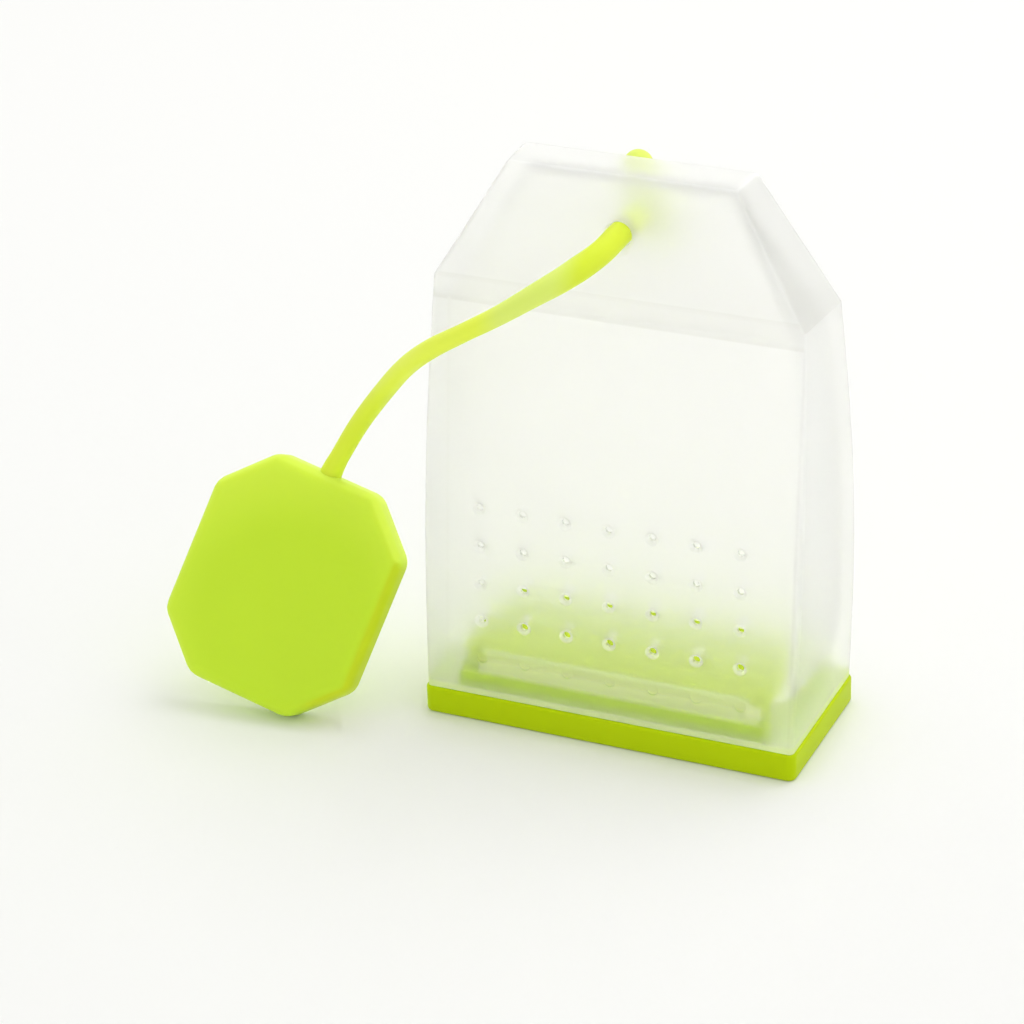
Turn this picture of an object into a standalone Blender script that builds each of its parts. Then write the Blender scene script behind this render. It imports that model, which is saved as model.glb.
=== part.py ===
# Silicone tea infuser: a tea bag of frosted silicone on a lime plug, with a cord, a tag and a toggle.
# Metres, +Z up. The origin is at the middle of the plug's underside, and the front face looks along -Y.
import math

import bmesh
import bpy
from mathutils import Euler, Vector
from mathutils.geometry import interpolate_bezier

# Gap that neighbours keep
clearance = 0.0003

# Base plug
flange_width = 0.0460
flange_depth = 0.0206
flange_height = 0.0034
flange_corner = 0.0010
flange_edge = 0.00035
block_width = 0.0388
block_corner = 0.0014
block_edge = 0.0005
step_height = 0.0022

# Bag, outside
lip = 0.0003
infuser_height = 0.0680
shoulder_drop = 0.0142
shoulder_width = 0.0450
shoulder_depth = 0.0102
top_width = 0.0275
top_depth = 0.0059
side_bulge = 0.0011
face_bulge = 0.0003
bag_corner = 0.0006
top_edge = 0.0004

# Bag, inside
wall = 0.0014
top_wall = 0.0016
cavity_shoulder_drop = 0.0025
slant_wall = 0.0024
cavity_step = 0.0003
cavity_corner = 0.0005
rib_length = 0.0332
rib_height = 0.0024
rib_depth = 0.0008
rib_root = 0.0003

# Strainer holes
hole_diameter = 0.0014
hole_columns = 7
hole_rows = 5
hole_column_pitch = 0.0053
hole_row_pitch = 0.00455
first_row_height = 0.0044

# Cord, tag and toggle
cord_diameter = 0.0024
cord_hole_diameter = 0.0034
cord_hole_drop = 0.0067
tag_width = 0.0243
tag_height = 0.0279
tag_thickness = 0.0043
tag_chamfer = 0.0059
tag_edge = 0.0007
tag_place = Vector((-0.03994, -0.01142, 0.01415))
tag_turn = Euler((math.radians(-27.3), math.radians(17.0), math.radians(6.9)), "YXZ")
toggle_diameter = 0.0036
toggle_length = 0.0116
toggle_rise = 0.0006
toggle_lean = math.radians(18.0)
toggle_bow = 0.0004

# Heights that follow from the sizes above
bag_bottom = flange_height + clearance
bag_top = infuser_height
shoulder = bag_top - shoulder_drop
cavity_shoulder = shoulder - cavity_shoulder_drop
cavity_top = bag_top - top_wall
bag_width = flange_width - 2 * lip
bag_depth = flange_depth - 2 * lip
step_top = flange_height + step_height
rib_bottom = step_top + clearance
rib_top = rib_bottom + rib_height
block_top = rib_top + clearance
cord_height = bag_top - cord_hole_drop

# Facets
corner_steps = 4
hole_sides = 10
cord_hole_sides = 20
round_sides = 20


def lerp(a, b, t):
    return a + (b - a) * t


def half_width(z):
    """Half the bag's outer width at a height: sides that bulge a little, then slanted shoulders."""
    if z <= shoulder:
        t = max(0.0, (z - bag_bottom) / (shoulder - bag_bottom))
        return lerp(bag_width, shoulder_width, t) / 2 + side_bulge * math.sin(math.pi * t)
    return lerp(shoulder_width, top_width, (z - shoulder) / (bag_top - shoulder)) / 2


def half_depth(z):
    """Half the bag's outer depth at a height: a wedge, with faces that bulge a little below the shoulder."""
    if z <= shoulder:
        t = max(0.0, (z - bag_bottom) / (shoulder - bag_bottom))
        return lerp(bag_depth, shoulder_depth, t) / 2 + face_bulge * math.sin(math.pi * t)
    return lerp(shoulder_depth, top_depth, (z - shoulder) / (bag_top - shoulder)) / 2


def ring(half_x, half_y, radius, z):
    """Corner points of a rounded rectangle at one height, counterclockwise seen from above."""
    points = []
    for corner, (sx, sy) in enumerate(((1, 1), (-1, 1), (-1, -1), (1, -1))):
        cx = sx * (half_x - radius)
        cy = sy * (half_y - radius)
        for i in range(corner_steps + 1):
            angle = math.pi / 2 * (corner + i / corner_steps)
            points.append(Vector((cx + radius * math.cos(angle), cy + radius * math.sin(angle), z)))
    return points


def link(obj):
    bpy.context.scene.collection.objects.link(obj)
    return obj


def loft(name, rings):
    """A closed solid through rings that all have as many points, lowest first."""
    bm = bmesh.new()
    loops = [[bm.verts.new(point) for point in points] for points in rings]
    count = len(loops[0])
    for low, high in zip(loops, loops[1:]):
        for i in range(count):
            j = (i + 1) % count
            bm.faces.new((low[i], low[j], high[j], high[i]))
    bm.faces.new(list(reversed(loops[0])))
    bm.faces.new(loops[-1])
    mesh = bpy.data.meshes.new(name)
    bm.to_mesh(mesh)
    bm.free()
    return link(bpy.data.objects.new(name, mesh))


def edged(half_x, half_y, radius, low, high, low_edge, high_edge, taper=0.0):
    """Rings of an upright rounded block whose lower and upper rims are eased over a small radius."""
    rings = []
    for z, edge, sign in ((low, low_edge, -1), (high, high_edge, 1)):
        steps = (1.0, 0.5, 0.0) if sign < 0 else (0.0, 0.5, 1.0)
        for t in steps if edge else (0.0,):
            inset = edge * (1 - math.cos(math.pi / 2 * t))
            height = z - sign * edge * (1 - math.sin(math.pi / 2 * t))
            lean = taper * (height - low)
            rings.append(ring(half_x - inset, half_y - inset - lean, max(radius - inset, radius / 3), height))
    return rings


def boolean(target, cutter, operation):
    modifier = target.modifiers.new(cutter.name, "BOOLEAN")
    modifier.operation = operation
    modifier.solver = "EXACT"
    modifier.object = cutter
    cutter.hide_render = True
    cutter.display_type = "WIRE"


def join(name, bodies):
    """One object from the meshes of several, for a single Boolean."""
    bm = bmesh.new()
    for body in bodies:
        bm.from_mesh(body.data)
        bpy.data.objects.remove(body)
    mesh = bpy.data.meshes.new(name)
    bm.to_mesh(mesh)
    bm.free()
    return link(bpy.data.objects.new(name, mesh))


def drill(name, x, z, diameter, sides, low_y, high_y):
    """A round cutter along Y."""
    rings = []
    for y in (high_y, low_y):
        rings.append([
            Vector((x + diameter / 2 * math.cos(a), y, z + diameter / 2 * math.sin(a)))
            for a in (2 * math.pi * i / sides for i in range(sides))
        ])
    return loft(name, rings)


def finish(obj, material, angle=35.0):
    obj.data.materials.append(material)
    obj.data.shade_smooth()
    obj.data.set_sharp_from_angle(angle=math.radians(angle))
    return obj


def silicone(name, color, roughness, transmission=0.0):
    material = bpy.data.materials.new(name)
    material.use_nodes = True
    shader = material.node_tree.nodes["Principled BSDF"]
    shader.inputs["Base Color"].default_value = (*color, 1.0)
    shader.inputs["Roughness"].default_value = roughness
    shader.inputs["Metallic"].default_value = 0.0
    shader.inputs["IOR"].default_value = 1.41
    shader.inputs["Transmission Weight"].default_value = transmission
    return material


def cavity_half_width(z):
    """Half the width inside the bag. The inner shoulder lies lower than the outer one."""
    if z <= cavity_shoulder:
        return half_width(z) - wall
    low = half_width(cavity_shoulder) - wall
    high = half_width(cavity_top) - slant_wall
    return lerp(low, high, (z - cavity_shoulder) / (cavity_top - cavity_shoulder))


def cavity_half_depth(z):
    """Half the depth inside the bag. Above the inner shoulder both faces are a little thicker."""
    extra = cavity_step if z > cavity_shoulder else 0.0
    return half_depth(z) - wall - extra


def make_bag(material):
    lower = [lerp(bag_bottom, shoulder, i / 8) for i in range(9)]
    outer = [ring(half_width(z), half_depth(z), bag_corner, z) for z in lower]
    for t in (0.0, 0.5, 1.0):
        inset = top_edge * (1 - math.cos(math.pi / 2 * t))
        z = bag_top - top_edge * (1 - math.sin(math.pi / 2 * t))
        outer.append(ring(half_width(z) - inset, half_depth(z) - inset, bag_corner, z))
    bag = loft("bag", outer)

    # The cavity runs out through the foot, so its first ring lies below it
    mouth = ring(cavity_half_width(bag_bottom), cavity_half_depth(bag_bottom), cavity_corner, 0.0)
    levels = [lerp(bag_bottom, cavity_shoulder, i / 8) for i in range(9)]
    levels += [cavity_shoulder + 2 * cavity_step, shoulder, cavity_top]
    inner = [mouth]
    inner += [ring(cavity_half_width(z), cavity_half_depth(z), cavity_corner, z) for z in levels]
    boolean(bag, loft("bag_cavity", inner), "DIFFERENCE")

    # Strainer holes in both faces, and the cord's hole through them
    reach = bag_depth
    drills = []
    for row in range(hole_rows):
        z = bag_bottom + first_row_height + row * hole_row_pitch
        for column in range(hole_columns):
            x = (column - (hole_columns - 1) / 2) * hole_column_pitch
            drills.append(drill("hole", x, z, hole_diameter, hole_sides, -reach, reach))
    drills.append(drill("hole", 0.0, cord_height, cord_hole_diameter, cord_hole_sides, -reach, reach))
    boolean(bag, join("bag_holes", drills), "DIFFERENCE")

    # The stop rib on each face, rooted in the wall, closes the lowest holes from inside
    face = half_depth(rib_top) - wall
    ribs = []
    for side in (-1, 1):
        ys = sorted((side * (face + rib_root), side * (face - rib_depth)))
        corners = [(-1, ys[0]), (1, ys[0]), (1, ys[1]), (-1, ys[1])]
        ribs.append(loft("rib", [
            [Vector((sx * rib_length / 2, y, z)) for sx, y in corners] for z in (rib_bottom, rib_top)
        ]))
    boolean(bag, join("bag_ribs", ribs), "UNION")
    return finish(bag, material)


def make_base_plug(material):
    flange = loft("base_plug", edged(
        flange_width / 2, flange_depth / 2, flange_corner, 0.0, flange_height, flange_edge, flange_edge / 2
    ))
    # The step fills the mouth and leans with the walls
    lean = (half_depth(bag_bottom) - half_depth(step_top)) / (step_top - bag_bottom)
    step = half_depth(bag_bottom) - wall - clearance
    low = flange_height / 2
    block = loft("plug_step", edged(
        block_width / 2, step + lean * (bag_bottom - low), block_corner, low, step_top, 0.0, 0.0, lean
    ))
    boolean(flange, block, "UNION")
    # The boss above it clears the stop ribs
    boss_half_depth = half_depth(rib_top) - wall - rib_depth - clearance
    boss = loft("plug_boss", edged(
        block_width / 2 - clearance, boss_half_depth, block_corner, low, block_top, 0.0, block_edge
    ))
    boolean(flange, boss, "UNION")
    return finish(flange, material)


def tag_axis(local):
    return tag_turn.to_matrix() @ Vector(local)


def make_tag(material):
    x = tag_width / 2
    z = tag_height / 2
    c = tag_chamfer
    outline = [
        (-x, z - c), (-x, -z + c), (-x + c, -z), (x - c, -z), (x, -z + c), (x, z - c), (x - c, z), (-x + c, z),
    ]
    tag = loft("tag", [
        [Vector((px, y, pz)) for px, pz in outline] for y in (tag_thickness / 2, -tag_thickness / 2)
    ])
    tag.location = tag_place
    tag.rotation_euler = tag_turn.to_matrix().to_euler()
    bevel = tag.modifiers.new("soft edges", "BEVEL")
    bevel.width = tag_edge
    bevel.segments = 2
    bevel.limit_method = "ANGLE"
    bevel.angle_limit = math.radians(30)
    return finish(tag, material)


def make_toggle(material):
    """A bar with round ends that leans across the back hole and bows a little away from the bag."""
    radius = toggle_diameter / 2
    span = toggle_length - 2 * radius
    back = half_depth(cord_height) + clearance + radius
    tilt = math.atan2(shoulder_depth - top_depth, 2 * (bag_top - shoulder))
    axis = Vector((-math.sin(toggle_lean), -math.sin(tilt), math.cos(toggle_lean))).normalized()
    out = Vector((0, 1, 0))
    out = (out - axis * out.dot(axis)).normalized()
    side = out.cross(axis)
    middle = Vector((0, back, cord_height)) + axis * toggle_rise
    stations = []
    for i in range(1, 4):
        angle = math.pi / 2 * i / 4
        stations.append((-span / 2 - radius * math.cos(angle), radius * math.sin(angle)))
    for i in range(7):
        stations.append((span * (i / 6 - 0.5), radius))
    for i in range(3, 0, -1):
        angle = math.pi / 2 * i / 4
        stations.append((span / 2 + radius * math.cos(angle), radius * math.sin(angle)))
    rings = []
    for along, r in stations:
        bow = toggle_bow * (2 * along / toggle_length) ** 2
        centre = middle + axis * along + out * bow
        rings.append([
            centre + (out * math.cos(a) + side * math.sin(a)) * r
            for a in (-2 * math.pi * k / round_sides for k in range(round_sides))
        ])
    return finish(loft("cord_toggle", rings), material, 60.0)


def cord_route():
    """The cord's middle line, from the toggle through both holes and round to the tag."""
    end = tag_place + tag_axis((0, 0, tag_height / 2 + clearance))
    return [
        Vector((0.0, half_depth(cord_height), cord_height)),
        Vector((0.0, 0.0, cord_height)),
        Vector((0.0, -half_depth(cord_height), cord_height)),
        Vector((-0.0007, -0.0080, 0.0605)),
        Vector((-0.0032, -0.0117, 0.0592)),
        Vector((-0.0062, -0.0140, 0.0578)),
        Vector((-0.0099, -0.0153, 0.05565)),
        Vector((-0.0140, -0.0153, 0.0528)),
        Vector((-0.0188, -0.0137, 0.04915)),
        Vector((-0.0236, -0.0106, 0.0449)),
        Vector((-0.0286, -0.0067, 0.0391)),
        Vector((-0.03245, -0.0046, 0.0338)),
        Vector((-0.0349, -0.0043, 0.0297)),
        end,
    ]


def smooth(route, first, last, pieces):
    """A curve through the route's points, with tangents from each point's neighbours."""
    tangents = [first.normalized() * (route[1] - route[0]).length]
    for before, after in zip(route, route[2:]):
        tangents.append((after - before) / 2)
    tangents.append(last.normalized() * (route[-1] - route[-2]).length)
    points = [route[0]]
    for i in range(len(route) - 1):
        a = route[i]
        b = route[i + 1]
        span = interpolate_bezier(a, a + tangents[i] / 3, b - tangents[i + 1] / 3, b, pieces + 1)
        points += span[1:]
    return points


def make_cord(material):
    points = smooth(cord_route(), Vector((0, -1, 0)), tag_axis((0, 0, -1)), 2)
    curve = bpy.data.curves.new("cord", "CURVE")
    curve.dimensions = "3D"
    curve.bevel_depth = cord_diameter / 2
    curve.bevel_resolution = 2
    curve.use_fill_caps = True
    spline = curve.splines.new("POLY")
    spline.points.add(len(points) - 1)
    for point, place in zip(spline.points, points):
        point.co = (*place, 1.0)
    curve.materials.append(material)
    return link(bpy.data.objects.new("cord", curve))


def main():
    for obj in list(bpy.data.objects):
        bpy.data.objects.remove(obj)
    frosted = silicone("frosted_silicone", (0.92, 0.94, 0.90), 0.45, 0.6)
    lime = silicone("lime_silicone", (0.50, 0.73, 0.02), 0.42)
    make_base_plug(lime)
    make_bag(frosted)
    make_tag(lime)
    make_toggle(lime)
    make_cord(lime)


main()
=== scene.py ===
# Silicone tea infuser: a frosted bag on a lime plug, with a lime cord, tag and toggle.
# Metres, in the frame of the CAD: the front face looks along -Y, and the width lies along X.
import math

import bmesh
import bpy
from mathutils import Euler, Matrix, Vector
from mathutils.geometry import interpolate_bezier


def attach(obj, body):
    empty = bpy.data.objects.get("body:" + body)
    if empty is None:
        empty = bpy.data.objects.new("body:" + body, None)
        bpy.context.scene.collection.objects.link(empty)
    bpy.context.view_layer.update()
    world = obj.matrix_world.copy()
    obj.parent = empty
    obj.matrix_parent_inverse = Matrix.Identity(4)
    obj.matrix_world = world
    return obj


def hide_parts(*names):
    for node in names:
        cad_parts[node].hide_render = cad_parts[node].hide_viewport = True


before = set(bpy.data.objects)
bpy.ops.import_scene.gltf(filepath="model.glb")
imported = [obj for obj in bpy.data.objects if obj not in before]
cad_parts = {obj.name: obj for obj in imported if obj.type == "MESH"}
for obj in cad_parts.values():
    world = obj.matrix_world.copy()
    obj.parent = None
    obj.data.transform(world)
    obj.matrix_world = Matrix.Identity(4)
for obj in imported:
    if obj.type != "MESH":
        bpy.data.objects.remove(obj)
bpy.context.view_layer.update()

scene = bpy.context.scene

# Camera: its angles, its focal length in pixels, and the pixel where it sees the point it aims at
image_size = 1024
sensor_width = 36.0
camera_azimuth = math.radians(24.57)
camera_elevation = math.radians(27.19)
camera_roll = math.radians(-1.88)
camera_focal = 3639.89
camera_distance = 0.41224
aim = Vector((0.0, 0.0, 0.035))
aim_pixel_x = 634.96
aim_pixel_y = 437.13

# Base plug: a flange, a step that fills the bag's mouth, and a boss between the stop ribs
flange_width = 0.0460
flange_depth = 0.0206
flange_height = 0.0034
flange_corner = 0.0010
flange_low_edge = 0.00045
flange_high_edge = 0.0003
block_width = 0.0388
block_corner = 0.0014
block_top = 0.0086
step_height = 0.0022
step_edge = 0.0002
boss_inset = 0.0003
boss_edge = 0.0006
plug_gap = 0.00008

# Bag, outside. The lip is how far the flange stands out past it.
lip = 0.0003
foot_gap = 0.00005
bag_bottom = 0.0037
bag_top = 0.0680
shoulder = 0.0538
shoulder_width = 0.0456
shoulder_depth = 0.0102
top_width = 0.0275
top_depth = 0.0059
side_bulge = 0.0009
face_bulge = 0.0003
bag_corner = 0.0006
top_edge = 0.0004
# The front face is narrower than the back by this much on each side, at the shoulder and at the top
shoulder_inset = 0.0007
top_inset = 0.0003
inset_bulge = 0.0003
# The soft shell hangs a little at its right shoulder, from this height up
right_drop = 0.0005
drop_start = 0.031

# Bag, inside
wall = 0.0014
slant_wall = 0.0024
cavity_shoulder = 0.0513
cavity_top = 0.0664
cavity_step = 0.0003
cavity_corner = 0.0005
cavity_top_corner = 0.0013
corner_start = 0.045
mouth_gap = 0.0001
mouth_rise = 0.0008
ring_margin = 0.0005
rib_length = 0.0332
rib_bottom = 0.0059
rib_top = 0.0083
rib_depth = 0.0008
rib_root = 0.0002

# Strainer holes. Each row stands a little to the left of the one below.
hole_columns = 7
hole_rows = 5
hole_column_pitch = 0.0053
hole_row_pitch = 0.00463
first_row = bag_bottom + 0.0047
first_row_shift = 0.00033
row_shift = 0.00012
hole_sides = 24
cord_hole_sides = 32
# Depth below the bag's outer face, and the cutter's radius there, outside first
wide_hole = (
    (-0.0010, 0.00200), (0.0, 0.00085), (0.00016, 0.00048), (0.00065, 0.00048), (0.0016, 0.00120),
)
narrow_hole = (
    (-0.0010, 0.00200), (0.0, 0.00080), (0.00020, 0.00042), (0.00060, 0.00042), (0.0016, 0.00120),
)
cord_hole = ((-0.0010, 0.0034), (0.0, 0.00180), (0.0003, 0.0015), (0.0016, 0.0015))
# The lowest row is closed from inside, and leaves shallow marks only. These go from the inside out.
mark = ((0.00003, 0.00062), (0.0, 0.00070), (-0.0010, 0.00200))

# Tag: its edges are rounded most at the front, less at the corners and least at the back
tag_width = 0.0249
tag_height = 0.0283
tag_thickness = 0.0043
tag_chamfer = 0.0059
tag_edge = 0.0016
tag_corner_share = 0.6
tag_back_share = 0.4
tag_place = Vector((-0.03994, -0.01142, 0.01415))
tag_turn = Euler((math.radians(-27.3), math.radians(17.0), math.radians(6.9)), "YXZ").to_matrix()
floor_gap = 0.00002

# Toggle, behind the bag
toggle_gap = 0.0003
toggle_diameter = 0.0036
toggle_length = 0.0116
toggle_rise = 0.0006
toggle_lean = math.radians(18.0)
toggle_bow = 0.0004

# Cord. The taper gives the share of the way from the toggle to the tag, and the thickness there.
cord_diameter = 0.0024
cord_height = 0.0613
cord_root = 0.0003
cord_taper = (
    (0.0, 0.0027), (0.17, 0.0028), (0.22, 0.0029), (0.27, 0.0027), (0.32, 0.0024), (0.37, 0.0022),
    (0.44, 0.0021), (0.52, 0.00225), (0.72, 0.00235), (0.96, 0.0023), (1.0, 0.0027),
)

# Colours, in linear light
cord_lime = (0.76, 0.90, 0.06)
cord_sheen = (0.95, 1.0, 0.60)
# Painted light on the cord: paler along its middle, and a paler glow where it is thick near the bag
cord_middle_painted_light = (0.84, 1.00, 0.10)
cord_thick_painted_glow = (0.78, 0.93, 0.20)
tag_lime = (0.61, 0.86, 0.04)
# Painted light on the tag: a paler glow at its border, a highlight on the upper rims and shade on
# the lower ones
tag_border_painted_glow = (0.75, 0.97, 0.08)
tag_rim_painted_highlight = (0.75, 0.99, 0.09)
tag_rim_painted_shade = (0.62, 0.76, 0.02)
plug_lime = (0.50, 0.66, 0.004)
plug_sheen = (0.80, 0.90, 0.25)
# Painted shade on the top of the plug's block
plug_top_painted_shade = (0.47, 0.62, 0.02)
toggle_lime = (0.80, 0.95, 0.17)
frost = (0.998, 0.998, 0.987)
dense_frost = (0.985, 0.990, 0.960)
# Painted shade on the bag's right side, its back part and its slant
side_painted_shade = (0.970, 0.970, 0.960)
side_back_painted_shade = (0.940, 0.940, 0.925)
slant_painted_shade = (0.830, 0.830, 0.815)
# Painted shade on the bag's flat top
top_painted_shade = (0.935, 0.935, 0.920)
# Painted light and shade on the front wall: the plug's lit step and shaded face as seen through it,
# its green on the foot, and shade with green on the rib tops
light_band_painted_light = (0.990, 0.999, 0.760)
dark_band_painted_shade = (0.910, 0.980, 0.640)
foot_painted_green = (0.90, 0.97, 0.60)
rib_painted_shade = (0.88, 0.97, 0.60)
paper = (0.935, 0.935, 0.920)
studio_white = (1.0, 1.0, 0.99)


# Camera

def make_camera():
    ahead = Vector((
        -math.sin(camera_azimuth) * math.cos(camera_elevation),
        math.cos(camera_azimuth) * math.cos(camera_elevation),
        -math.sin(camera_elevation),
    ))
    right = Vector((math.cos(camera_azimuth), math.sin(camera_azimuth), 0.0))
    up = right.cross(ahead)
    side = right * math.cos(camera_roll) + up * math.sin(camera_roll)
    top = up * math.cos(camera_roll) - right * math.sin(camera_roll)
    seen_x = aim_pixel_x - image_size / 2
    seen_y = aim_pixel_y - image_size / 2
    ray = ahead + side * (seen_x / camera_focal) - top * (seen_y / camera_focal)
    data = bpy.data.cameras.new("camera")
    data.sensor_width = sensor_width
    data.lens = camera_focal / image_size * sensor_width
    data.clip_start = 0.01
    data.clip_end = 20.0
    camera = link(bpy.data.objects.new("camera", data))
    turn = Matrix((side, top, -ahead)).transposed()
    camera.matrix_world = Matrix.Translation(aim - ray * camera_distance) @ turn.to_4x4()
    scene.camera = camera


# Mesh tools

def link(obj):
    scene.collection.objects.link(obj)
    return obj


def lerp(a, b, t):
    return a + (b - a) * t


def ring(half_x, half_y, radius, z, front_inset=0.0, steps=6):
    """A rectangle with round corners, narrower at its front edge by an inset on each side."""
    points = []
    for corner, (sx, sy) in enumerate(((1, 1), (-1, 1), (-1, -1), (1, -1))):
        cx = sx * (half_x - radius - (front_inset if sy < 0 else 0.0))
        cy = sy * (half_y - radius)
        for i in range(steps + 1):
            angle = math.pi / 2 * (corner + i / steps)
            x = cx + radius * math.cos(angle)
            y = cy + radius * math.sin(angle)
            points.append(Vector((x, y, z)))
    return points


def circle(x, y, z, across, up, sides):
    """A circle across Y. The signs of its radii along X and Z set the way round."""
    angles = [2 * math.pi * i / sides for i in range(sides)]
    return [Vector((x + across * math.cos(a), y, z + up * math.sin(a))) for a in angles]


def edge_steps(edge):
    """How far in and how far down each ring of a rounded edge lies, from its side to its top."""
    if not edge:
        return [(0.0, 0.0)]
    turns = [math.pi / 2 * (i / 4) for i in range(5)]
    return [(edge * (1 - math.cos(turn)), edge * (1 - math.sin(turn))) for turn in turns]


def edged(half_x, half_y, radius, low, high, low_edge, high_edge, lean=0.0):
    """Rings of a block with round corners and edges, whose long faces lean in as they rise."""
    rings = []
    for z, edge, sign in ((low, low_edge, -1), (high, high_edge, 1)):
        for inset, drop in edge_steps(edge)[::sign]:
            height = z - sign * drop
            depth = half_y - inset - lean * (height - low)
            rings.append(ring(half_x - inset, depth, max(radius - inset, radius / 3), height))
    return rings


def loft(name, rings):
    """A closed solid through rings that all have the same number of points."""
    bm = bmesh.new()
    loops = [[bm.verts.new(point) for point in points] for points in rings]
    count = len(loops[0])
    for low, high in zip(loops, loops[1:]):
        for i in range(count):
            j = (i + 1) % count
            bm.faces.new((low[i], low[j], high[j], high[i]))
    bm.faces.new(list(reversed(loops[0])))
    bm.faces.new(loops[-1])
    mesh = bpy.data.meshes.new(name)
    bm.to_mesh(mesh)
    bm.free()
    return link(bpy.data.objects.new(name, mesh))


def join(name, bodies):
    """One object from several, which are removed."""
    bm = bmesh.new()
    for body in bodies:
        bm.from_mesh(body.data)
        bpy.data.objects.remove(body)
    mesh = bpy.data.meshes.new(name)
    bm.to_mesh(mesh)
    bm.free()
    return link(bpy.data.objects.new(name, mesh))


def apply(obj):
    """Bakes the object's modifiers into its mesh."""
    bpy.context.view_layer.update()
    seen = obj.evaluated_get(bpy.context.evaluated_depsgraph_get())
    mesh = bpy.data.meshes.new_from_object(seen)
    obj.modifiers.clear()
    obj.data = mesh


def boolean(target, cutter, operation):
    modifier = target.modifiers.new(cutter.name, "BOOLEAN")
    modifier.operation = operation
    modifier.solver = "EXACT"
    modifier.object = cutter
    apply(target)
    bpy.data.objects.remove(cutter)


def clean(obj):
    """Removes the faces without area that a Boolean leaves."""
    bm = bmesh.new()
    bm.from_mesh(obj.data)
    bmesh.ops.dissolve_degenerate(bm, dist=0.000002, edges=bm.edges)
    bm.to_mesh(obj.data)
    bm.free()


def smooth_shade(obj, angle):
    """Smooth shading, with the edges sharper than an angle in degrees kept sharp."""
    obj.data.shade_smooth()
    obj.data.set_sharp_from_angle(angle=math.radians(angle))


def dress(obj, body, slot, material, *nodes):
    if material:
        obj.data.materials.append(material)
    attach(obj, body)
    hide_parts(*nodes)
    return obj


# Material tools

def math_node(material, operation, first, second=None):
    """A Math node on two inputs, each a number or another node's output."""
    node = material.node_tree.nodes.new("ShaderNodeMath")
    node.operation = operation
    for socket, value in zip(node.inputs, (first, second)):
        if isinstance(value, (int, float)):
            socket.default_value = value
        elif value is not None:
            material.node_tree.links.new(value, socket)
    return node.outputs[0]


def product(material, first, *others):
    for other in others:
        first = math_node(material, "MULTIPLY", first, other)
    return first


def total(material, first, *others):
    for other in others:
        first = math_node(material, "ADD", first, other)
    return first


def ramp(material, value, low, high):
    """0 below low and 1 above high, or the other way round where low is the larger."""
    node = material.node_tree.nodes.new("ShaderNodeMapRange")
    node.interpolation_type = "SMOOTHSTEP"
    material.node_tree.links.new(value, node.inputs["Value"])
    node.inputs["From Min"].default_value = min(low, high)
    node.inputs["From Max"].default_value = max(low, high)
    node.inputs["To Min"].default_value = 0.0 if low < high else 1.0
    node.inputs["To Max"].default_value = 1.0 if low < high else 0.0
    return node.outputs["Result"]


def between(material, value, low, full_low, full_high, high):
    """1 from full_low to full_high, and 0 outside low and high."""
    rising = ramp(material, value, low, full_low)
    return product(material, rising, ramp(material, value, high, full_high))


def place_of(material):
    """Where a point of the surface lies and which way it faces, in the object's own space."""
    nodes = material.node_tree.nodes
    place = nodes.new("ShaderNodeTexCoord")
    outputs = []
    for name in ("Object", "Normal"):
        parts = nodes.new("ShaderNodeSeparateXYZ")
        material.node_tree.links.new(place.outputs[name], parts.inputs[0])
        outputs.append(parts.outputs)
    return outputs


def vector_node(material, operation, coordinate, value):
    """A Vector Math node on the surface's place (Object) or facing (Normal), and a fixed vector."""
    nodes = material.node_tree.nodes
    place = nodes.new("ShaderNodeTexCoord")
    node = nodes.new("ShaderNodeVectorMath")
    node.operation = operation
    material.node_tree.links.new(place.outputs[coordinate], node.inputs[0])
    node.inputs[1].default_value = value
    return node.outputs["Value"]


def tint(material, mask, color):
    """Moves the base colour towards another where the mask is 1."""
    shader = material.node_tree.nodes["Principled BSDF"]
    socket = shader.inputs["Base Color"]
    mix = material.node_tree.nodes.new("ShaderNodeMix")
    mix.data_type = "RGBA"
    material.node_tree.links.new(mask, mix.inputs["Factor"])
    material.node_tree.links.new(socket.links[0].from_socket, mix.inputs["A"])
    mix.inputs["B"].default_value = (*color, 1.0)
    material.node_tree.links.new(mix.outputs["Result"], socket)


# Silicones

def silicone(name, color, roughness, mottle, grain):
    """A Principled shader with a faint mottle in its colour and a fine moulded grain."""
    material = bpy.data.materials.new(name)
    material.use_nodes = True
    nodes = material.node_tree.nodes
    links = material.node_tree.links
    shader = nodes["Principled BSDF"]
    shader.inputs["Roughness"].default_value = roughness
    shader.inputs["IOR"].default_value = 1.41
    place = nodes.new("ShaderNodeTexCoord")
    cloud = nodes.new("ShaderNodeTexNoise")
    cloud.inputs["Scale"].default_value = 90.0
    cloud.inputs["Detail"].default_value = 3.0
    links.new(place.outputs["Object"], cloud.inputs["Vector"])
    shade = nodes.new("ShaderNodeMix")
    shade.data_type = "RGBA"
    shade.inputs["A"].default_value = (*[c * (1 - mottle) for c in color], 1.0)
    shade.inputs["B"].default_value = (*[min(1.0, c * (1 + mottle)) for c in color], 1.0)
    links.new(cloud.outputs["Fac"], shade.inputs["Factor"])
    links.new(shade.outputs["Result"], shader.inputs["Base Color"])
    fine = nodes.new("ShaderNodeTexNoise")
    fine.inputs["Scale"].default_value = 2600.0
    fine.inputs["Detail"].default_value = 2.0
    links.new(place.outputs["Object"], fine.inputs["Vector"])
    bump = nodes.new("ShaderNodeBump")
    bump.inputs["Strength"].default_value = grain
    bump.inputs["Distance"].default_value = 0.00003
    links.new(fine.outputs["Fac"], bump.inputs["Height"])
    links.new(bump.outputs["Normal"], shader.inputs["Normal"])
    return material


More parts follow.
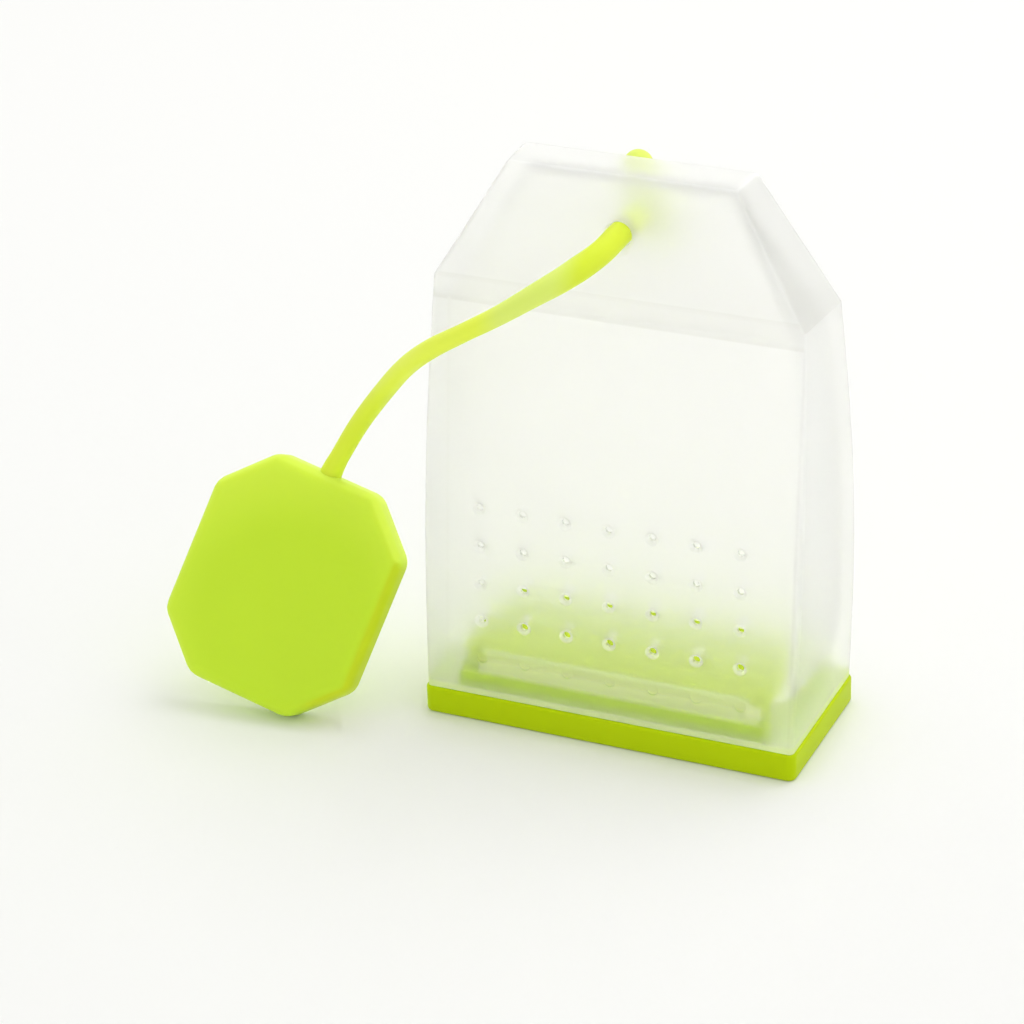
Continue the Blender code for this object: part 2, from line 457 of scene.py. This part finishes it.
def lime_silicone(name, color, sheen=(1.0, 1.0, 1.0)):
    """An opaque silicone that lets a little light in."""
    material = silicone(name, color, roughness=0.42, mottle=0.03, grain=0.10)
    shader = material.node_tree.nodes["Principled BSDF"]
    shader.inputs["Specular Tint"].default_value = (*sheen, 1.0)
    shader.inputs["Specular IOR Level"].default_value = 0.15
    shader.inputs["Subsurface Weight"].default_value = 0.35
    shader.inputs["Subsurface Radius"].default_value = (1.0, 1.0, 0.3)
    shader.inputs["Subsurface Scale"].default_value = 0.0012
    return material


def frosted_silicone(name, color, transmission):
    """A rough clear surface: light from behind comes through it blurred."""
    material = silicone(name, color, roughness=0.78, mottle=0.003, grain=0.2)
    shader = material.node_tree.nodes["Principled BSDF"]
    shader.inputs["Transmission Weight"].default_value = transmission
    shader.inputs["IOR"].default_value = 1.18
    return material


def cord_painted_light(material):
    """Painted light: paler along the cord's middle, and paler still as a painted glow where it is
    thick near the bag.
    """
    point = place_of(material)[0]
    # Painted light along the cord's middle
    middle = between(material, point["X"], -0.0320, -0.0220, -0.0100, -0.0040)
    tint(material, middle, cord_middle_painted_light)
    # Painted glow where the cord is thick near the bag
    thick = between(material, point["X"], -0.0120, -0.0085, -0.0040, -0.0010)
    tint(material, thick, cord_thick_painted_glow)


def tag_painted_light(material):
    """Painted light on the tag: a glow paler towards its border, a highlight on the rims that look
    up and shade on the others.
    """
    point = place_of(material)[0]
    # Painted glow, paler towards the border
    middle = tag_place + tag_turn @ Vector((0.0025, 0.0, -0.0035))
    far = vector_node(material, "DISTANCE", "Object", middle)
    tint(material, product(material, ramp(material, far, 0.0100, 0.0190), 0.7), tag_border_painted_glow)
    # The rim is what looks neither to the front nor to the back
    frontward = vector_node(material, "DOT_PRODUCT", "Normal", tag_turn @ Vector((0, -1, 0)))
    rim = between(material, frontward, -0.98, -0.85, 0.70, 0.98)
    upward = vector_node(material, "DOT_PRODUCT", "Normal", tag_turn @ Vector((0, 0, 1)))
    # Painted highlight on the rims that look up
    tint(material, product(material, rim, ramp(material, upward, 0.10, 0.60)), tag_rim_painted_highlight)
    # Painted shade on the other rims, on the tag's right part
    dull = product(
        material, rim,
        ramp(material, upward, 0.45, -0.10),
        ramp(material, point["X"], -0.0360, -0.0330),
    )
    tint(material, dull, tag_rim_painted_shade)


def plug_painted_shade(material):
    """Painted shade: the block's top is painted darker, as it gets less light inside the bag."""
    point, facing = place_of(material)
    flat = ramp(material, facing["Z"], 0.7, 0.9)
    top = product(material, flat, ramp(material, point["Z"], 0.0070, 0.0080))
    tint(material, top, plug_top_painted_shade)


def painted_creases_and_shade(material):
    """Painted shade: the creases are painted on the bag's faces as thin darker lines, and its sides
    are painted darker.
    """
    point, facing = place_of(material)
    faces = ramp(material, math_node(material, "ABSOLUTE", facing["Y"]), 0.5, 0.8)
    # Painted shade: the shoulder's crease outside, the one inside, and a veil between them
    for middle, half, color in (
        (0.0541, 0.00040, (0.925, 0.925, 0.905)),
        (0.0517, 0.00050, (0.880, 0.880, 0.855)),
        (0.0529, 0.0014, (0.966, 0.966, 0.948)),
    ):
        crease = between(
            material, point["Z"], middle - half, middle - half / 2, middle + half / 2, middle + half
        )
        tint(material, product(material, crease, faces), color)
    # Painted shade on the right side, its back part and its slanted part
    side = ramp(material, facing["X"], 0.5, 0.8)
    tint(material, side, side_painted_shade)
    back_part = product(material, side, ramp(material, point["Y"], -0.0030, 0.0060))
    tint(material, back_part, side_back_painted_shade)
    slanted = product(material, side, ramp(material, facing["Z"], 0.25, 0.40))
    tint(material, slanted, slant_painted_shade)
    # The upright edges of the cavity, painted as darker lines in the faces below the shoulder
    below = product(material, faces, ramp(material, point["Z"], 0.0520, 0.0512))
    for middle, half, color in (
        (0.0222, 0.00035, (0.915, 0.915, 0.900)),
        (-0.0200, 0.00040, (0.960, 0.960, 0.945)),
    ):
        line = between(material, point["X"], middle - half, middle, middle, middle + half)
        tint(material, product(material, line, below), color)


def front_patch(material, point, facing, limits):
    """1 on a patch of the front face. Each limit has an axis, a start and where it is full."""
    mask = ramp(material, facing["Y"], -0.9, -0.98)
    for axis, start, full in limits:
        mask = product(material, mask, ramp(material, point[axis], start, full))
    return mask


def dense_zones_and_painted_light(material):
    """Less light comes straight through the thick top, the foot and the wall at the stop rib, and
    painted light, shade and see-through green go on the bag's faces.
    """
    point, facing = place_of(material)
    shader = material.node_tree.nodes["Principled BSDF"]
    light_band = front_patch(material, point, facing, (
        ("Z", 0.00600, 0.00680), ("Z", 0.00830, 0.00770),
        ("X", -0.01640, -0.01560), ("X", 0.01900, 0.01800),
    ))
    dark_band = front_patch(material, point, facing, (
        ("Z", 0.00400, 0.00440), ("Z", 0.00640, 0.00590),
        ("X", -0.01900, -0.01800), ("X", 0.01950, 0.01850),
    ))
    foot = ramp(material, point["Z"], 0.0046, 0.0039)
    above_block = ramp(material, point["Z"], 0.0095, 0.0150)
    thick_top = ramp(material, point["Z"], 0.0570, 0.0620)
    lid = ramp(material, facing["Z"], 0.6, 0.8)
    left_wall = ramp(material, facing["X"], -0.5, -0.8)

    # How much less light each zone lets through, and how much more the left wall does
    less = total(
        material,
        product(material, thick_top, 0.05),
        product(material, lid, 0.20),
        product(material, light_band, 0.26),
        product(material, above_block, 0.05),
        product(material, foot, 0.35),
    )
    less = math_node(material, "SUBTRACT", less, product(material, left_wall, 0.08))
    transmission = shader.inputs["Transmission Weight"]
    clear = math_node(material, "SUBTRACT", transmission.default_value, less)
    material.node_tree.links.new(clear, transmission)
    roughness = shader.inputs["Roughness"]
    rough = total(material, product(material, thick_top, 0.17), roughness.default_value)
    material.node_tree.links.new(rough, roughness)

    # Painted light and shade: the plug's lit step and its shaded face as they show through the
    # front wall, and the plug's green painted on the foot
    tint(material, light_band, light_band_painted_light)
    tint(material, foot, foot_painted_green)
    tint(material, dark_band, dark_band_painted_shade)
    # Painted shade with the plug's green on the upward faces low in the bag, the stop ribs' tops
    rising = ramp(material, facing["Z"], 0.3, 0.6)
    rib = product(material, rising, ramp(material, point["Z"], 0.0088, 0.0084))
    tint(material, rib, rib_painted_shade)
    # Painted shade on the bag's flat top
    flat = ramp(material, facing["Z"], 0.90, 0.98)
    top = product(material, flat, ramp(material, point["Z"], 0.0660, 0.0670))
    tint(material, top, top_painted_shade)


# Bag

def share_to_shoulder(z):
    return max(0.0, (z - bag_bottom) / (shoulder - bag_bottom))


def share_to_top(z):
    return (z - shoulder) / (bag_top - shoulder)


def half_width(z):
    if z > shoulder:
        return lerp(shoulder_width, top_width, share_to_top(z)) / 2
    t = share_to_shoulder(z)
    bag_width = flange_width - 2 * lip
    return lerp(bag_width, shoulder_width, t) / 2 + side_bulge * math.sin(math.pi * t)


def half_depth(z):
    if z > shoulder:
        return lerp(shoulder_depth, top_depth, share_to_top(z)) / 2
    t = share_to_shoulder(z)
    bag_depth = flange_depth - 2 * lip
    return lerp(bag_depth, shoulder_depth, t) / 2 + face_bulge * math.sin(math.pi * t)


def front_inset(z):
    """How much narrower the bag is at its front face than at its back, on each side."""
    if z > shoulder:
        return lerp(shoulder_inset, top_inset, share_to_top(z))
    t = share_to_shoulder(z)
    return shoulder_inset * t + inset_bulge * math.sin(math.pi * t)


def cavity_half_width(z):
    """Half the width inside the bag, which closes round the plug's block at the foot."""
    if z <= block_top:
        return block_width / 2 + mouth_gap
    if z <= cavity_shoulder:
        return half_width(z) - wall
    low = half_width(cavity_shoulder) - wall
    high = half_width(cavity_top) - slant_wall
    return lerp(low, high, (z - cavity_shoulder) / (cavity_top - cavity_shoulder))


def cavity_half_depth(z):
    extra = cavity_step if z > cavity_shoulder else 0.0
    return half_depth(z) - wall - extra


def levels_between_rows():
    """Heights for the bag's rings up to the shoulder, which no hole crosses: two for each row."""
    return [first_row + hole_row_pitch * (i / 2 + 0.25) for i in range(-1, 19)]


def bag_outside():
    levels = [flange_height + foot_gap, bag_bottom] + levels_between_rows() + [shoulder]
    rings = [ring(half_width(z), half_depth(z), bag_corner, z, front_inset(z)) for z in levels]
    for inset, drop in edge_steps(top_edge):
        z = bag_top - drop
        rings.append(
            ring(half_width(z) - inset, half_depth(z) - inset, bag_corner, z, front_inset(z))
        )
    return loft("bag_shell", rings)


def bag_inside():
    """The cavity, which runs out through the foot and widens above the plug's block."""
    levels = [bag_bottom, block_top, block_top + mouth_rise]
    levels += [z for z in levels_between_rows() if levels[-1] < z < cavity_shoulder - ring_margin]
    levels += [cavity_shoulder, cavity_shoulder + 2 * cavity_step, shoulder, cavity_top]
    rings = [
        ring(cavity_half_width(bag_bottom), cavity_half_depth(bag_bottom), cavity_corner, 0.0)
    ]
    for z in levels:
        rounder = max(0.0, (z - corner_start) / (cavity_top - corner_start))
        corner = lerp(cavity_corner, cavity_top_corner, rounder)
        narrower = front_inset(z) if z > block_top else 0.0
        rings.append(ring(cavity_half_width(z), cavity_half_depth(z), corner, z, narrower))
    return loft("bag_cavity", rings)


def hole_cutter(x, z, profile, sides):
    """A round cutter through both faces, from its radius at each depth below them."""
    back = [(half_depth(z) - depth, radius) for depth, radius in profile]
    front = [(-y, radius) for y, radius in reversed(back)]
    hole = loft("hole", [circle(x, y, z, radius, radius, sides) for y, radius in back + front])
    # Its faces come ring by ring, and the two flared rims are of the denser silicone
    last = 2 * len(profile) - 2
    for i, polygon in enumerate(hole.data.polygons):
        polygon.material_index = 1 if i // sides in (1, last - 1) else 0
    return hole


def dimple(x, z, side):
    """A cutter for a shallow round mark in one face."""
    return loft("dimple", [
        circle(x, side * (half_depth(z) - depth), z, side * radius, -radius, hole_sides)
        for depth, radius in mark
    ])


def bag_holes():
    drills = []
    for row in range(hole_rows):
        z = first_row + row * hole_row_pitch
        for column in range(hole_columns):
            x = (column - (hole_columns - 1) / 2) * hole_column_pitch
            x = x + first_row_shift - row_shift * row
            if row == 0:
                drills += [dimple(x, z, -1), dimple(x, z, 1)]
            else:
                profile = wide_hole if row == 1 else narrow_hole
                drills.append(hole_cutter(x, z, profile, hole_sides))
    drills.append(hole_cutter(0.0, cord_height, cord_hole, cord_hole_sides))
    return join("bag_holes", drills)


def stop_ribs():
    """A rib on the inside of each face, which the plug's step stops against."""
    inner_face = half_depth(rib_top) - wall
    ribs = []
    for side in (-1, 1):
        low, high = sorted((side * (inner_face + rib_root), side * (inner_face - rib_depth)))
        corners = [(-1, low), (1, low), (1, high), (-1, high)]
        ribs.append(loft("rib", [
            [Vector((sx * rib_length / 2, y, z)) for sx, y in corners]
            for z in (rib_bottom, rib_top)
        ]))
    return join("bag_ribs", ribs)


def drop_right(bag):
    """Lowers the right shoulder, fading out towards the top and the middle of the bag."""
    for vertex in bag.data.vertices:
        x, y, z = vertex.co
        above = (bag_top - z) / (bag_top - shoulder)
        share = max(0.0, min((z - drop_start) / (shoulder - drop_start), above))
        vertex.co.z = z - right_drop * share * max(0.0, x / (shoulder_width / 2))


def make_bag(material, dense):
    bag = bag_outside()
    boolean(bag, bag_inside(), "DIFFERENCE")
    holes = bag_holes()
    for obj in (bag, holes):
        obj.data.materials.append(material)
        obj.data.materials.append(dense)
    boolean(bag, holes, "DIFFERENCE")
    boolean(bag, stop_ribs(), "UNION")
    drop_right(bag)
    clean(bag)
    smooth_shade(bag, 18.0)
    return dress(bag, "bag", "frosted_silicone", None, "bag")


# Base plug

def make_plug(material):
    plug = loft("plug", edged(
        flange_width / 2, flange_depth / 2, flange_corner, 0.0, flange_height,
        flange_low_edge, flange_high_edge,
    ))
    # The step and the boss are rooted in the flange. The step leans in with the bag's walls.
    root = flange_height / 2
    step_top = flange_height + step_height
    lean = (half_depth(bag_bottom) - half_depth(step_top)) / (step_top - bag_bottom)
    step_half_depth = half_depth(bag_bottom) - wall - plug_gap + lean * (bag_bottom - root)
    boolean(plug, loft("plug_step", edged(
        block_width / 2, step_half_depth, block_corner, root, step_top, 0.0, step_edge, lean,
    )), "UNION")
    boss_half_depth = half_depth(rib_top) - wall - rib_depth - plug_gap
    boolean(plug, loft("plug_boss", edged(
        block_width / 2 - boss_inset, boss_half_depth, block_corner, root, block_top,
        0.0, boss_edge,
    )), "UNION")
    smooth_shade(plug, 35.0)
    return dress(plug, "plug", "lime_silicone", material, "base_plug")


# Tag

def make_tag(material):
    x = tag_width / 2
    z = tag_height / 2
    c = tag_chamfer
    outline = [
        (-x, z - c), (-x, -z + c), (-x + c, -z), (x - c, -z),
        (x, -z + c), (x, z - c), (x - c, z), (-x + c, z),
    ]
    tag = loft("tag_paddle", [
        [Vector((px, y, pz)) for px, pz in outline]
        for y in (tag_thickness / 2, -tag_thickness / 2)
    ])
    tag.data.attributes.new("bevel_weight_edge", "FLOAT", "EDGE")
    weights = tag.data.attributes["bevel_weight_edge"].data
    for edge, weight in zip(tag.data.edges, weights):
        depth = sum(tag.data.vertices[i].co.y for i in edge.vertices) / tag_thickness
        if depth < -0.5:
            weight.value = 1.0
        else:
            weight.value = tag_back_share if depth > 0.5 else tag_corner_share
    bevel = tag.modifiers.new("soft edges", "BEVEL")
    bevel.width = tag_edge
    bevel.segments = 6
    bevel.limit_method = "WEIGHT"
    apply(tag)
    smooth_shade(tag, 60.0)
    tag.data.transform(Matrix.Translation(tag_place) @ tag_turn.to_4x4())
    # The lowest corner is flattened where it rests on the floor
    for vertex in tag.data.vertices:
        vertex.co.z = max(vertex.co.z, floor_gap)
    return dress(tag, "bag", "lime_silicone", material, "tag")


# Toggle

def toggle_stations(radius, sections=12, end_steps=8):
    """Places along the toggle with the radius there: a straight bar with round ends."""
    span = toggle_length - 2 * radius
    end = []
    for i in range(1, end_steps):
        angle = math.pi / 2 * i / end_steps
        end.append((span / 2 + radius * math.cos(angle), radius * math.sin(angle)))
    stations = [(-along, r) for along, r in end]
    stations += [(span * (i / sections - 0.5), radius) for i in range(sections + 1)]
    return stations + end[::-1]


def make_toggle(material, sides=40):
    radius = toggle_diameter / 2
    back = half_depth(cord_height) + toggle_gap + radius
    tilt = math.atan2(shoulder_depth - top_depth, 2 * (bag_top - shoulder))
    axis = Vector((-math.sin(toggle_lean), -math.sin(tilt), math.cos(toggle_lean))).normalized()
    out = Vector((0, 1, 0))
    out = (out - axis * out.dot(axis)).normalized()
    side = out.cross(axis)
    middle = Vector((0, back, cord_height)) + axis * toggle_rise
    angles = [-2 * math.pi * k / sides for k in range(sides)]
    rings = []
    for along, r in toggle_stations(radius):
        bow = toggle_bow * (2 * along / toggle_length) ** 2
        centre = middle + axis * along + out * bow
        rings.append([centre + (out * math.cos(a) + side * math.sin(a)) * r for a in angles])
    toggle = loft("toggle", rings)
    smooth_shade(toggle, 60.0)
    return dress(toggle, "bag", "lime_silicone", material, "cord_toggle")


# Cord

def cord_route():
    """From the back of the bag through both of its faces, and on to the tag's upper end."""
    end = tag_place + tag_turn @ Vector((0, 0, tag_height / 2 - cord_root))
    return [
        Vector((0.0, half_depth(cord_height), cord_height)),
        Vector((0.0, 0.0, cord_height)),
        Vector((0.0, -half_depth(cord_height), cord_height)),
        Vector((-0.0007, -0.0080, 0.0605)),
        Vector((-0.00305, -0.01175, 0.0590)),
        Vector((-0.0059, -0.0141, 0.05735)),
        Vector((-0.0095, -0.01545, 0.05505)),
        Vector((-0.0137, -0.0154, 0.0524)),
        Vector((-0.0186, -0.01375, 0.04895)),
        Vector((-0.0233, -0.0106, 0.04465)),
        Vector((-0.0283, -0.0067, 0.0389)),
        Vector((-0.0323, -0.0046, 0.0337)),
        Vector((-0.0348, -0.0043, 0.02965)),
        end,
    ]


def smooth(route, first, last, pieces):
    """A smooth curve through the route's points, along first at its start and last at its end."""
    tangents = [first.normalized() * (route[1] - route[0]).length]
    for before, after in zip(route, route[2:]):
        tangents.append((after - before) / 2)
    tangents.append(last.normalized() * (route[-1] - route[-2]).length)
    points = [route[0]]
    for i in range(len(route) - 1):
        a = route[i]
        b = route[i + 1]
        span = interpolate_bezier(a, a + tangents[i] / 3, b - tangents[i + 1] / 3, b, pieces + 1)
        points += span[1:]
    return points


def thickness(share):
    for (a, low), (b, high) in zip(cord_taper, cord_taper[1:]):
        if share <= b:
            return lerp(low, high, (share - a) / (b - a))
    return cord_taper[-1][1]


def make_cord(material):
    """The cord as a curve of one spline, and its length."""
    points = smooth(cord_route(), Vector((0, -1, 0)), tag_turn @ Vector((0, 0, -1)), 6)
    lengths = [0.0]
    for a, b in zip(points, points[1:]):
        lengths.append(lengths[-1] + (b - a).length)
    curve = bpy.data.curves.new("cord_line", "CURVE")
    curve.dimensions = "3D"
    curve.bevel_depth = cord_diameter / 2
    curve.bevel_resolution = 8
    curve.use_fill_caps = True
    spline = curve.splines.new("POLY")
    spline.points.add(len(points) - 1)
    for point, place, far in zip(spline.points, points, lengths):
        point.co = (*place, 1.0)
        point.radius = thickness(far / lengths[-1]) / cord_diameter
    spline.use_smooth = True
    cord = link(bpy.data.objects.new("cord_line", curve))
    dress(cord, "bag", "lime_silicone", material, "cord")
    return cord, lengths[-1]


# Surroundings

def make_floor():
    bpy.ops.mesh.primitive_plane_add(size=6.0, location=(0.0, 0.0, 0.0))
    floor = bpy.context.object
    floor.name = "floor"
    material = bpy.data.materials.new("floor_paper")
    material.use_nodes = True
    shader = material.node_tree.nodes["Principled BSDF"]
    shader.inputs["Base Color"].default_value = (*paper, 1.0)
    shader.inputs["Roughness"].default_value = 0.9
    shader.inputs["Specular IOR Level"].default_value = 0.2
    floor.data.materials.append(material)


def make_world():
    """A dim white light all round, which the camera and glossy or clear surfaces see as white."""
    world = bpy.data.worlds.new("studio")
    world.use_nodes = True
    nodes = world.node_tree.nodes
    links = world.node_tree.links
    dim = nodes["Background"]
    dim.inputs["Color"].default_value = (*studio_white, 1.0)
    dim.inputs["Strength"].default_value = 0.80
    white = nodes.new("ShaderNodeBackground")
    white.inputs["Color"].default_value = (*studio_white, 1.0)
    path = nodes.new("ShaderNodeLightPath")
    seen = path.outputs["Is Camera Ray"]
    for ray in ("Is Glossy Ray", "Is Transmission Ray"):
        either = nodes.new("ShaderNodeMath")
        either.operation = "MAXIMUM"
        links.new(seen, either.inputs[0])
        links.new(path.outputs[ray], either.inputs[1])
        seen = either.outputs[0]
    mix = nodes.new("ShaderNodeMixShader")
    links.new(seen, mix.inputs["Fac"])
    links.new(dim.outputs[0], mix.inputs[1])
    links.new(white.outputs[0], mix.inputs[2])
    links.new(mix.outputs[0], nodes["World Output"].inputs["Surface"])
    scene.world = world


def make_lamp(name, place, target, size, power):
    data = bpy.data.lights.new(name, "AREA")
    data.shape = "SQUARE"
    data.size = size
    data.energy = power
    lamp = link(bpy.data.objects.new(name, data))
    lamp.location = place
    lamp.rotation_euler = (Vector(target) - Vector(place)).to_track_quat("-Z", "Y").to_euler()


def make_stage():
    make_floor()
    make_world()
    make_lamp("key", (0.12, 0.30, 0.72), (0.0, 0.0, 0.02), size=0.5, power=1.65)
    make_lamp("side", (0.60, 0.15, 0.30), (0.0, 0.0, 0.03), size=0.4, power=0.2)
    make_lamp("fill", (-0.55, 0.20, 0.30), (0.0, 0.0, 0.03), size=0.4, power=0.15)


make_camera()
# Light crosses the frosted walls many times
scene.cycles.max_bounces = 16
scene.cycles.glossy_bounces = 8
scene.cycles.transmission_bounces = 16
scene.view_settings.view_transform = "Standard"

cord_material = lime_silicone("lime_cord", cord_lime, cord_sheen)
cord_painted_light(cord_material)
cord, cord_length = make_cord(cord_material)

toggle = make_toggle(lime_silicone("lime_toggle", toggle_lime))

tag_material = lime_silicone("lime_tag", tag_lime)
tag_painted_light(tag_material)
tag = make_tag(tag_material)

bag_material = frosted_silicone("frosted_silicone", frost, 0.9)
painted_creases_and_shade(bag_material)
dense_zones_and_painted_light(bag_material)
make_bag(bag_material, frosted_silicone("frosted_silicone_dense", dense_frost, 0.45))

plug_material = lime_silicone("lime_plug", plug_lime, plug_sheen)
plug_painted_shade(plug_material)
make_plug(plug_material)

make_stage()
